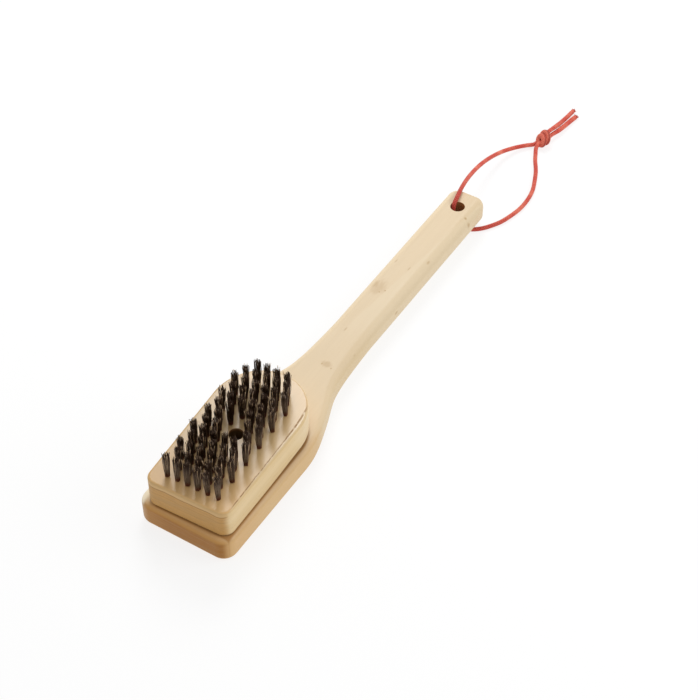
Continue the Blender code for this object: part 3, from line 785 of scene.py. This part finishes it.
blockFinish = {
    "face": (0.63, 0.43, 0.205), "side": (0.72, 0.54, 0.29), "end": (0.52, 0.29, 0.092),
    "fibre": (0.4, 0.25, 0.11), "coat": 0.85,
    "fibreStrength": 0.15, "cloudStrength": 0.12, "layerStrength": 0.45,
    "glueLine": -24.3, "glueSway": ((0.12, 0.0, 0.0), 0.7), "glueColor": (0.25, 0.105, 0.03), "glueShift": 0.6,
    "bendStart": 10.0, "bendLength": 23.4, "bendBy": 1.5,
    "glueThick": (0.0, 32.0, 0.12, 0.45), "glueNoise": ((0.35, 0.0, 0.0), 2.0),
    "gluePatches": (0.36, 0.52, 0.35, 1.0),
    "seam": [("glue", 0.0, 0.22, 0.8, 0.0), ("up", 0.5, 0.8), ("x", -46.0, -38.0), ("x", 14.0, 34.0, 1.0, 0.55)],
    # the top is golden towards the front, partly as painted warm shade under the tufts, a strip is glued on at the
    # right, and the front's rim is pale
    "under": [((0.69, 0.43, 0.182), ("x", 0.0, -48.0, 0.0, 0.9), ("up", 0.5, 0.8)),
              ((0.7, 0.53, 0.3), ("past", 0.0, 0.2, 0.0, 0.8), ("up", 0.5, 0.8)),
              ((0.62, 0.42, 0.2), ("level", 15.0, 15.3, 0.0, 0.75), ("ahead", -0.45, -0.75))],
    # dark lines on the front: height and strength
    "levelSway": ((0.05, 0.09, 0.0), 1.6), "lineColor": (0.26, 0.135, 0.045),
    "lines": [(14.8, 0.75), (10.6, 0.3), (6.6, 0.2)],
    "line": [("off", 0.1, 0.4, 1.0, 0.0), ("ahead", -0.45, -0.75)],
    # a paler band on the right, sides painted paler to the back as painted light from behind, painted shade in the
    # groove under the block, and the back rim, worn and painted pale as a highlight
    "over": [((0.8, 0.66, 0.45), ("level", 8.2, 9.2), ("level", 13.6, 14.4, 0.18, 0.0), ("leftward", -0.5, -0.9)),
             ((0.8, 0.66, 0.45), ("up", 0.2, 0.6, 1.0, 0.0), ("x", 6.0, 32.0, 0.0, 0.5)),
             ((0.18, 0.08, 0.02), ("groove", 0.15, 0.65, 0.9, 0.0), ("x", 30.0, 40.0, 1.0, 0.0)),
             ((0.84, 0.68, 0.46), ("x", 24.0, 34.0), ("up", 0.98, 0.8, 0.0, 0.85), ("y", -22.0, -10.0, 0.4, 1.0))],
    "grooveWide": [("fromMiddle", 4.0, 42.0, 1.6, 0.0), ("y", -10.0, -20.0)],
    "wellColor": (0.13, 0.068, 0.022), "wellRim": (0.36, 0.17, 0.06), "wellUp": (15.5, 18.0),
    "well": (0.02, 0.22, 1.0, 0.0),
    "gloss": [("up", 0.95, 0.995), ("seam", 0.0, 0.5, 1.0, 0.0), ("well", 0.0, 1.0, 1.0, 0.0)],
}


def blockOutline():
    front, back = blockPlan["frontWidth"] / 2, blockPlan["backWidth"] / 2
    start = blockPlan["straight"] - blockPlan["screwFromFront"]
    corner = blockPlan["corner"]
    half = arc((corner - blockPlan["screwFromFront"], front - corner), (corner, corner), 180, 90, 10)
    straight = [half[-1].lerp(Vector((start, back)), k / 8) for k in range(1, 8)]
    half += straight + arc((start, 0.0), (blockPlan["length"] - blockPlan["straight"], back), 90, 0, 30)
    return bothSides(half)


def makeBlockMaterial():
    look = blockFinish
    material, tree, shader, place, color = bambooShader("blockBamboo", look)
    (x, y, z), normal = splitUp(tree, place), facing(tree)
    level = calc(tree, "ADD", z, sway(tree, place, *look["levelSway"]))
    # the strip's joint bends inwards at the back
    bent = calc(tree, "DIVIDE", calc(tree, "MAXIMUM", minus(tree, x, look["bendStart"]), 0.0), look["bendLength"])
    joint = calc(tree, "MULTIPLY_ADD", calc(tree, "POWER", bent, 2.0), look["bendBy"], look["glueLine"])
    joint = calc(tree, "ADD", joint, sway(tree, place, *look["glueSway"]))
    inputs = {"x": x, "y": y, "z": z, "ahead": normal[0], "leftward": normal[1], "up": normal[2], "level": level,
              "past": minus(tree, joint, y)}
    thick = ramp(tree, x, *look["glueThick"])
    off = calc(tree, "ABSOLUTE", minus(tree, inputs["past"], times(tree, thick, look["glueShift"])))
    inputs["glue"] = minus(tree, off, thick)
    patches = ramp(tree, cloud(tree, place, *look["glueNoise"]), *look["gluePatches"])
    inputs["seam"] = times(tree, mask(tree, inputs, look["seam"]), patches)
    color = tint(tree, paint(tree, color, look["under"], inputs), look["glueColor"], inputs["seam"])
    for height, strength in look["lines"]:
        inputs["off"] = calc(tree, "ABSOLUTE", minus(tree, level, height))
        color = tint(tree, color, look["lineColor"], mask(tree, inputs, look["line"]), strength)
    # the painted shade in the groove is widest beside the back on the right
    inputs["fromMiddle"] = calc(tree, "ABSOLUTE", minus(tree, x, blockPlan["grooveAt"]))
    inputs["groove"] = minus(tree, z, mask(tree, inputs, look["grooveWide"]))
    color = paint(tree, color, look["over"], inputs)
    # the well over the screw, with a warm near rim; its darker brown wall is painted darker deeper down as shade
    fromWall = minus(tree, hypotenuse(tree, x, y), blockPlan["wellWidth"] / 2)
    inputs["well"] = ramp(tree, fromWall, *look["well"])
    wellTone = blendColor(tree, ramp(tree, z, *look["wellUp"]), look["wellColor"], look["wellRim"])
    # only the flat top is glossy
    gloss = times(tree, mask(tree, inputs, look["gloss"]), look["coat"])
    setInputs(shader, {"Base Color": tint(tree, color, wellTone, inputs["well"]), "Coat Weight": gloss})
    return material


def makeBlock():
    plan, outline, material = blockPlan, blockOutline(), makeBlockMaterial()
    footRounds = []
    for point in outline:
        near = 1.0 - abs(point.x - plan["grooveAt"]) / plan["grooveReach"] if point.y < plan["grooveSide"] else 0.0
        footRounds.append(plan["grooveRound"] + plan["grooveWide"] * ease(near))
    for name, node, low, high, lowRound, highRound in plan["plies"]:
        lowRounds = [lowRound] * len(outline) if lowRound else footRounds
        mesh = plateMesh(name, outline, low, high, lowRounds, [highRound] * len(outline), 4)
        if high > plan["wellFloor"]:
            foot, rim = max(low - 2, plan["wellFloor"]), plan["wellRim"] if name == "topPly" else 0.0
            mesh = drill(mesh, (0.0, 0.0), plan["wellWidth"] / 2, foot, high, rim)
        softShade(addPiece(name, mesh, blockFrame, material, "block_bamboo", node))


makeBlock()
print("block is glued up and its well is drilled")

# Wire tufts

tuftPlan = {
    "rows": 13, "firstRow": 8.06, "rowPitch": 6.55, "tuftPitch": 6.21, "longRow": 6, "lastRow": 4,
    "bare": [(6, -1), (6, 0), (7, 0.5), (7, -0.5), (8, 0)], "splitRows": (7, 8),
    "foot": 17.5, "top": 18.0, "length": 17.2,
    "wires": 42, "sides": 4, "wireWidth": 0.32, "thickness": (0.85, 1.12),
    "footReach": 1.12, "middleReach": 1.78, "tipReach": 1.86, "widestAt": 0.6, "fullness": (0.93, 1.08),
    "uneven": 1.5, "mostTall": 1.6, "lean": 0.45, "jitter": 0.1, "drift": 0.3,
    "wave": 0.08, "ripple": (0.4, 1.4), "rippleTurns": (9.0, 8.0),
    "strays": 0.1, "stray": (0.5, 1.3), "strayTaller": 0.5, "strayThin": 0.7,
    "levels": (0.0, 0.1, 0.26, 0.44, 0.62, 0.82, 1.0),
    # tones: 0 is dark, 0.9 grey and 1 tan
    "tone": 0.46, "mostTone": 0.94, "footTone": (0.3, 1.4),
    # painted shade darkens the upper part of each wire
    "tipShade": 0.7, "tipShadeFrom": 0.55, "sparkles": 0.22, "sparkleTone": 0.9,
    # painted light: tufts where more light falls are paler: the front row by so much, and less by so much with each
    # row
    "litFront": (0.56, 0.24),
    # and by so much for each place to the right, past this one
    "litRight": (0.36, 1.2),
}

wireFinish = {
    "dark": (0.04, 0.016, 0.005), "roughness": 0.42, "metallic": 0.25, "specular": 0.3,
    "grime": (0.9, 0.9, 0.32), "roughOver": (0.3, 0.8, 0.34, 0.6),
    # grey wires, grime, reddish brown at the feet as a painted reflection of the wood, and tan where a wire is bent
    "coats": [((0.285, 0.205, 0.14), ("tone", 0.3, 0.9, 0.0, 0.85)),
              ((0.04, 0.016, 0.005), ("grime", 0.5, 0.75, 0.0, 0.6)),
              ((0.16, 0.036, 0.012), ("z", 18.2, 22.6, 0.85, 0.0)),
              ((0.66, 0.46, 0.28), ("tone", 0.95, 1.0))],
}


def makeWireMaterial():
    look = wireFinish
    material, tree, shader = newMaterial(
        "tuftWire", look["dark"], look["roughness"], look["metallic"], look["specular"])
    place = inMillimetres(tree)
    inputs = {"tone": addNode(tree, "ShaderNodeAttribute", attribute_name="wireTone").outputs["Fac"],
              "grime": cloud(tree, place, look["grime"], 2.0), "z": splitUp(tree, place)[2]}
    setInputs(shader, {"Base Color": paint(tree, look["dark"], look["coats"], inputs),
                       "Roughness": ramp(tree, inputs["grime"], *look["roughOver"])})
    return material


def tuftPlaces(row):
    count = tuftPlan["lastRow"] if row == tuftPlan["rows"] else tuftPlan["longRow"] - (row + 1) % 2
    places = [k - (count - 1) / 2 for k in range(count)]
    return [p for p in places if (row, p) not in tuftPlan["bare"]]


def reachAt(level):
    foot, middle, tip, widest = (tuftPlan[k] for k in ("footReach", "middleReach", "tipReach", "widestAt"))
    if level <= widest:
        return foot + (middle - foot) * math.sin(level / widest * math.pi / 2)
    return middle + (tip - middle) * (level - widest) / (1 - widest)


def somewhere(chance, reach):
    return Vector((chance.uniform(-1, 1), chance.uniform(-1, 1), 0)) * reach


def tuftMesh(name, row, places):
    plan, sides = tuftPlan, tuftPlan["sides"]
    points, corners, tones = [], [], []
    for place in places:
        chance = random.Random(100 * row + 10 * place)
        x = plan["firstRow"] + plan["rowPitch"] * (row - 1) - blockPlan["screwFromFront"]
        middle = Vector((x, place * plan["tuftPitch"], 0))
        lean, fullness = somewhere(chance, plan["lean"]), chance.uniform(*plan["fullness"])
        # painted light: the front rows and the right-hand tufts are paler
        (front, perRow), (right, rightStart) = plan["litFront"], plan["litRight"]
        wearAndLight = max(0.0, front - perRow * (row - 1), right * (-place - rightStart))
        for k in range(plan["wires"]):
            ring, angle = math.sqrt((k + 0.5) / plan["wires"]), k * goldenAngle + row
            out = Vector((math.cos(angle), math.sin(angle), 0)) * ring + somewhere(chance, plan["jitter"])
            drift = somewhere(chance, plan["drift"])
            tall = plan["length"] - plan["uneven"] * chance.random() ** plan["mostTall"]
            tone = min(plan["mostTone"], chance.random() * plan["tone"] + wearAndLight)
            stray = chance.random() < plan["strays"]
            if stray:
                drift = out.normalized() * chance.uniform(*plan["stray"])
                tall += plan["strayTaller"]
                tone = 1.0
            phase, ripple = chance.uniform(0, math.tau), chance.uniform(*plan["ripple"]) * plan["wave"]
            half = plan["wireWidth"] / 2 * chance.uniform(*plan["thickness"]) * (plan["strayThin"] if stray else 1.0)
            sparkle = chance.random() < plan["sparkles"]
            first = len(points)
            for level in plan["levels"]:
                centre = middle + out * (reachAt(level) * fullness) + lean * level + drift * level ** 3
                a, b = (turns * level for turns in plan["rippleTurns"])
                centre += Vector((math.sin(phase + a), math.cos(phase * 1.7 + b), 0)) * ripple
                centre.z = plan["foot"] + (plan["top"] - plan["foot"] + tall) * level
                # painted shade on the upper part of the wire
                dim = 0.0 if stray else plan["tipShade"] * max(0.0, (level - plan["tipShadeFrom"]) / (1 - plan["tipShadeFrom"]))
                shade = min(tone * (1.0 - dim), plan["footTone"][0] + plan["footTone"][1] * level)
                tones += [plan["sparkleTone"] if sparkle and level == 1.0 else shade] * sides
                for s in range(sides):
                    turn = math.tau * (s + 0.5) / sides + phase
                    points.append((centre + Vector((half * math.cos(turn), half * math.sin(turn), 0))) * mm)
            for base in range(first, len(points) - sides, sides):
                for s in range(sides):
                    a, b = base + s, base + (s + 1) % sides
                    corners.append((a, b, b + sides, a + sides))
            corners.append(tuple(range(len(points) - sides, len(points))))
    mesh = bpy.data.meshes.new(name)
    mesh.from_pydata(points, [], corners)
    mesh.attributes.new("wireTone", "FLOAT", "POINT").data.foreach_set("value", tones)
    mesh.polygons.foreach_set("use_smooth", [True] * len(corners))
    return mesh


def makeTufts():
    material, made = makeWireMaterial(), 0
    for row in range(1, tuftPlan["rows"] + 1):
        places = tuftPlaces(row)
        parts = {"": places}
        if row in tuftPlan["splitRows"]:
            parts = {"_left": [p for p in places if p > 0], "_right": [p for p in places if p < 0]}
        for side, own in parts.items():
            name, node = f"wireRow{row:02d}{side}", f"bristle_row_{row:02d}{side}"
            addPiece(name, tuftMesh(name, row, own), blockFrame, material, "tufted_ply", node)
            made += len(own)
    print("tufts set:", made)


makeTufts()

# Screw

screwFinish = {
    "bright": (0.34, 0.29, 0.24), "dull": (0.09, 0.065, 0.05), "roughness": 0.4, "metallic": 0.9,
    "wornNoise": 1.1, "brightOver": (0.4, 0.65), "roughOver": (0.3, 0.7, 0.6, 0.3), "bump": (0.2, 0.0001),
}


def dressScrew():
    look = screwFinish
    material, tree, shader = newMaterial("sunkScrew", look["bright"], look["roughness"], look["metallic"])
    wearAndLight = cloud(tree, inMillimetres(tree), (look["wornNoise"],) * 3, 4.0)
    color = blendColor(tree, ramp(tree, wearAndLight, *look["brightOver"]), look["dull"], look["bright"])
    setInputs(shader, {"Base Color": color, "Roughness": ramp(tree, wearAndLight, *look["roughOver"]),
                       "Normal": bump(tree, wearAndLight, *look["bump"])})
    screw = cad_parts["block_screw"]
    screw.data.materials.clear()
    screw.data.materials.append(material)


dressScrew()
print("screw is dressed")
